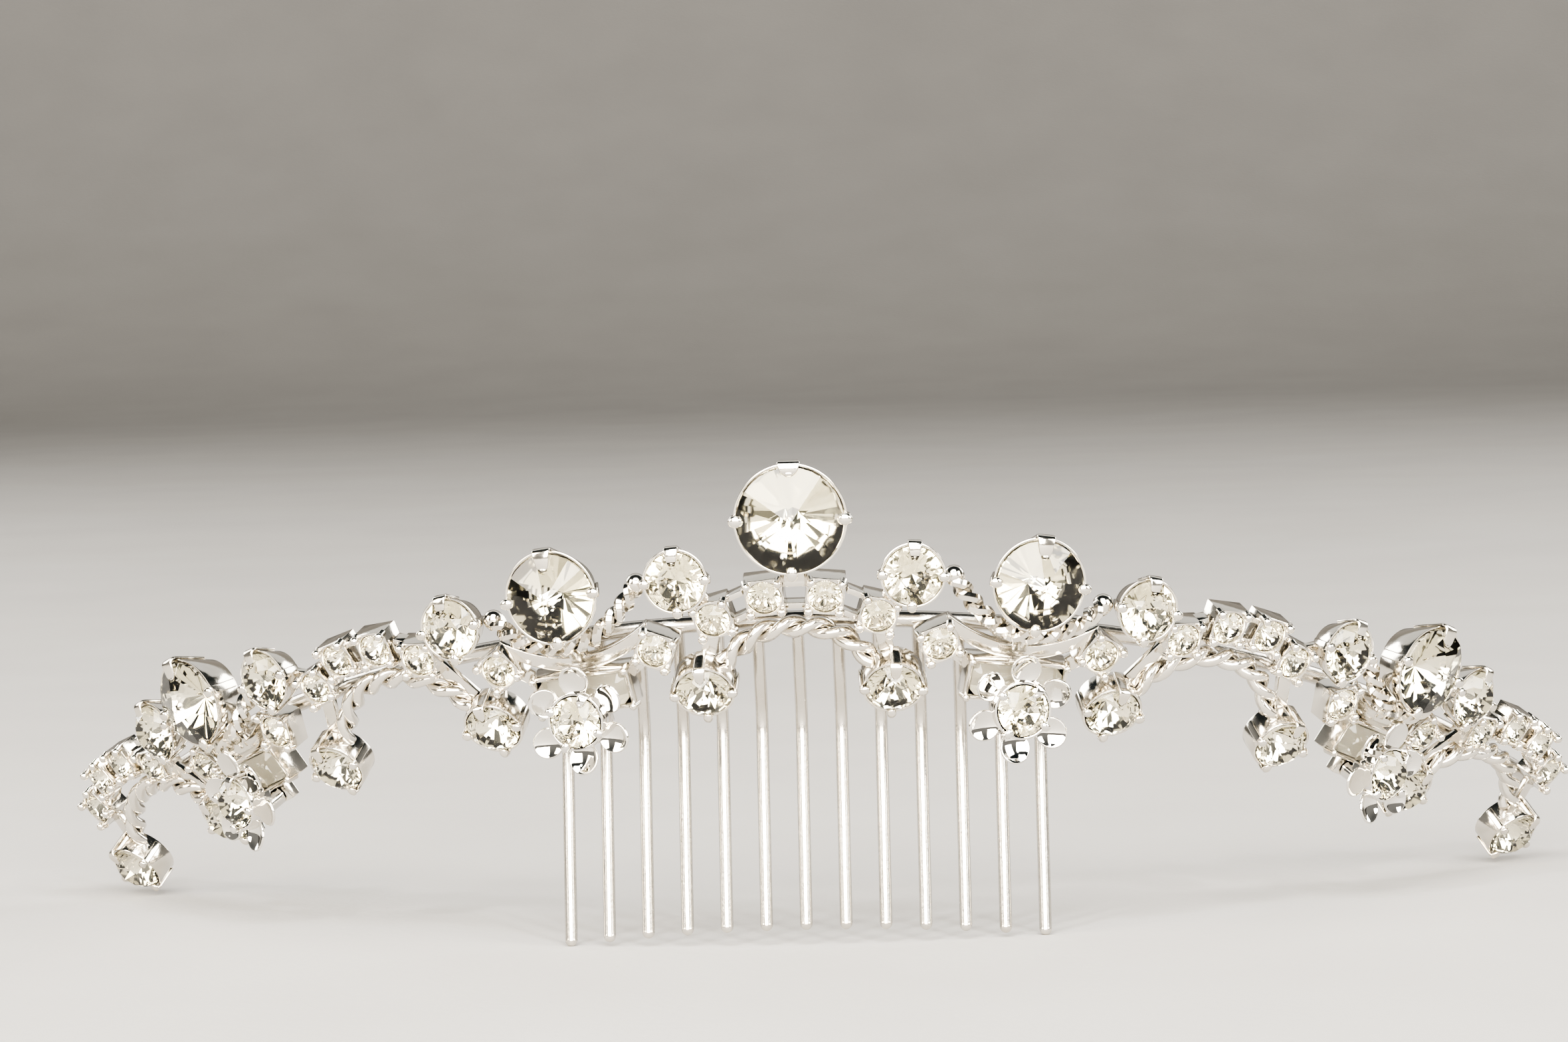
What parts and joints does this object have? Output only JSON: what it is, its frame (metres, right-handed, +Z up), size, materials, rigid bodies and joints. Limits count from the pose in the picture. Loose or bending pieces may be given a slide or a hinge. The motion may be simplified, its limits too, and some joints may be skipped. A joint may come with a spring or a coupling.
{
  "type": "tiara comb",
  "caption": "Curved bridal tiara comb with a flared row of arches, flowers and cup-set clear stones in silver-plated metal, and round wire comb teeth below the front.",
  "frame": {"origin": "middle of the underside at rest, on the table", "axes": "+X along the tiara from its left end to its right end, +Y from the front to the open back, +Z up"},
  "size_m": [0.1308, 0.0528, 0.0397],
  "materials": {
    "silver_plate": "polished silver plate",
    "silver_wire": "polished silver-plated wire",
    "foiled_crystal": "clear cut glass with a silver foil back"
  },
  "bodies": {
    "root": {"comb_and_base_wire": "silver_wire", "arch_outer_left": "silver_plate", "arch_inner_left": "silver_plate", "arch_center": "silver_plate", "arch_inner_right": "silver_plate", "arch_outer_right": "silver_plate", "gem_setting_outer_left": "silver_plate", "gem_setting_inner_left": "silver_plate", "gem_setting_inner_right": "silver_plate", "gem_setting_outer_right": "silver_plate", "flower_outer_left": "silver_plate", "flower_inner_left": "silver_plate", "flower_inner_right": "silver_plate", "flower_outer_right": "silver_plate", "crest_stone": "foiled_crystal", "gem_stone_outer_left": "foiled_crystal", "gem_stone_inner_left": "foiled_crystal", "gem_stone_inner_right": "foiled_crystal", "gem_stone_outer_right": "foiled_crystal", "top_stone_left_1": "foiled_crystal", "top_stone_left_2": "foiled_crystal", "top_stone_left_3": "foiled_crystal", "top_stone_left_4": "foiled_crystal", "top_stone_right_1": "foiled_crystal", "top_stone_right_2": "foiled_crystal", "top_stone_right_3": "foiled_crystal", "top_stone_right_4": "foiled_crystal", "drop_stone_left_1": "foiled_crystal", "drop_stone_left_2": "foiled_crystal", "drop_stone_left_3": "foiled_crystal", "drop_stone_left_4": "foiled_crystal", "drop_stone_left_5": "foiled_crystal", "drop_stone_right_1": "foiled_crystal", "drop_stone_right_2": "foiled_crystal", "drop_stone_right_3": "foiled_crystal", "drop_stone_right_4": "foiled_crystal", "drop_stone_right_5": "foiled_crystal", "flower_stone_outer_left": "foiled_crystal", "flower_stone_inner_left": "foiled_crystal", "flower_stone_inner_right": "foiled_crystal", "flower_stone_outer_right": "foiled_crystal", "long_stone_outer_left": "foiled_crystal", "long_stone_inner_left": "foiled_crystal", "long_stone_inner_right": "foiled_crystal", "long_stone_outer_right": "foiled_crystal", "arch_stones_outer_left": "foiled_crystal", "arch_stones_inner_left": "foiled_crystal", "arch_stones_center": "foiled_crystal", "arch_stones_inner_right": "foiled_crystal", "arch_stones_outer_right": "foiled_crystal", "side_stones_outer_left": "foiled_crystal", "side_stones_inner_left": "foiled_crystal", "side_stones_inner_right": "foiled_crystal", "side_stones_outer_right": "foiled_crystal"}
  },
  "joints": []
}
